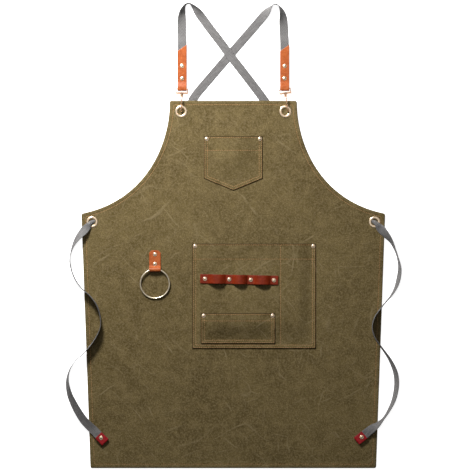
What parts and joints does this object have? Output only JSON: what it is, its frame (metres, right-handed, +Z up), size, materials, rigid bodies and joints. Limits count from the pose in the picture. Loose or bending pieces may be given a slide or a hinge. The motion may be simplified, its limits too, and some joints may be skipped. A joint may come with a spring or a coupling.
{
  "type": "bib apron",
  "caption": "Bib apron laid flat: canvas panel with pockets, leather tool strap, towel ring, and cross-back webbing straps held on swivel snap hooks.",
  "frame": {"origin": "on the surface that the apron lies on, under the middle of the apron measured without its webbing", "axes": "+Z up, off the surface, out of the apron's front; +Y from the bottom hem to the bib; +X across the apron, to the right seen from the front"},
  "size_m": [0.7743, 1.0747, 0.0248],
  "materials": {
    "canvas": "waxed",
    "webbing": "woven",
    "thread": "twisted",
    "tan_leather": "smooth",
    "tool_strap_leather": "smooth",
    "red_leather": "smooth",
    "grommet_metal": "polished",
    "rivet_metal": "polished",
    "ring_metal": "satin",
    "hook_metal": "polished",
    "spring_steel": "satin"
  },
  "bodies": {
    "apron": {"canvas_panel": "canvas", "canvas_hem": "canvas", "chest_pocket": "canvas", "tool_pocket": "canvas", "small_pocket": "canvas", "bib_grommets": "grommet_metal", "bib_grommet_washers": "grommet_metal", "waist_grommets": "grommet_metal", "waist_grommet_washers": "grommet_metal", "chest_pocket_rivets": "rivet_metal", "chest_pocket_rivet_backs": "rivet_metal", "tool_pocket_rivets": "rivet_metal", "tool_pocket_rivet_backs": "rivet_metal", "small_pocket_rivets": "rivet_metal", "small_pocket_rivet_backs": "rivet_metal", "tool_strap": "tool_strap_leather", "tool_strap_rivets": "rivet_metal", "tool_strap_rivet_backs": "rivet_metal", "towel_loop": "tan_leather", "towel_loop_rivets": "rivet_metal", "towel_loop_rivet_backs": "rivet_metal", "left_shoulder_tab": "tan_leather", "right_shoulder_tab": "tan_leather", "shoulder_tab_rivets": "rivet_metal", "shoulder_tab_rivet_backs": "rivet_metal", "left_strap_loop": "hook_metal", "right_strap_loop": "hook_metal", "left_strap": "webbing", "right_strap": "webbing", "left_tie_end": "red_leather", "right_tie_end": "red_leather", "tie_end_rivets": "rivet_metal", "tie_end_rivet_backs": "rivet_metal"},
    "towel_ring": {"towel_ring": "ring_metal"},
    "left_hook": {"left_hook": "hook_metal", "left_gate_pin": "spring_steel", "left_gate_spring": "spring_steel"},
    "right_hook": {"right_hook": "hook_metal", "right_gate_pin": "spring_steel", "right_gate_spring": "spring_steel"},
    "left_gate": {"left_gate": "hook_metal"},
    "right_gate": {"right_gate": "hook_metal"}
  },
  "joints": [
    {"name": "towel_ring_hinge", "type": "hinge", "parent": "apron", "child": "towel_ring", "pos_m": [-0.181, -0.0307, 0.0095], "axis": [-1, 0, 0], "range_deg": [0, 170]},
    {"name": "left_hook_swivel", "type": "hinge", "parent": "apron", "child": "left_hook", "pos_m": [-0.1185, 0.3869, 0.0068], "axis": [0.0349, 0.9994, 0], "range_deg": [-15, 15]},
    {"name": "left_gate_hinge", "type": "hinge", "parent": "left_hook", "child": "left_gate", "pos_m": [-0.11949, 0.35852, 0.01225], "axis": [0.9994, -0.0349, 0], "range_deg": [0, 17], "stiffness_Nm_per_rad": 0.002, "springref_deg": -20.05},
    {"name": "right_hook_swivel", "type": "hinge", "parent": "apron", "child": "right_hook", "pos_m": [0.1185, 0.3869, 0.0068], "axis": [-0.1392, 0.9903, 0], "range_deg": [-15, 15]},
    {"name": "right_gate_hinge", "type": "hinge", "parent": "right_hook", "child": "right_gate", "pos_m": [0.12245, 0.35878, 0.01225], "axis": [0.9903, 0.1392, 0], "range_deg": [0, 17], "stiffness_Nm_per_rad": 0.002, "springref_deg": -20.05}
  ]
}
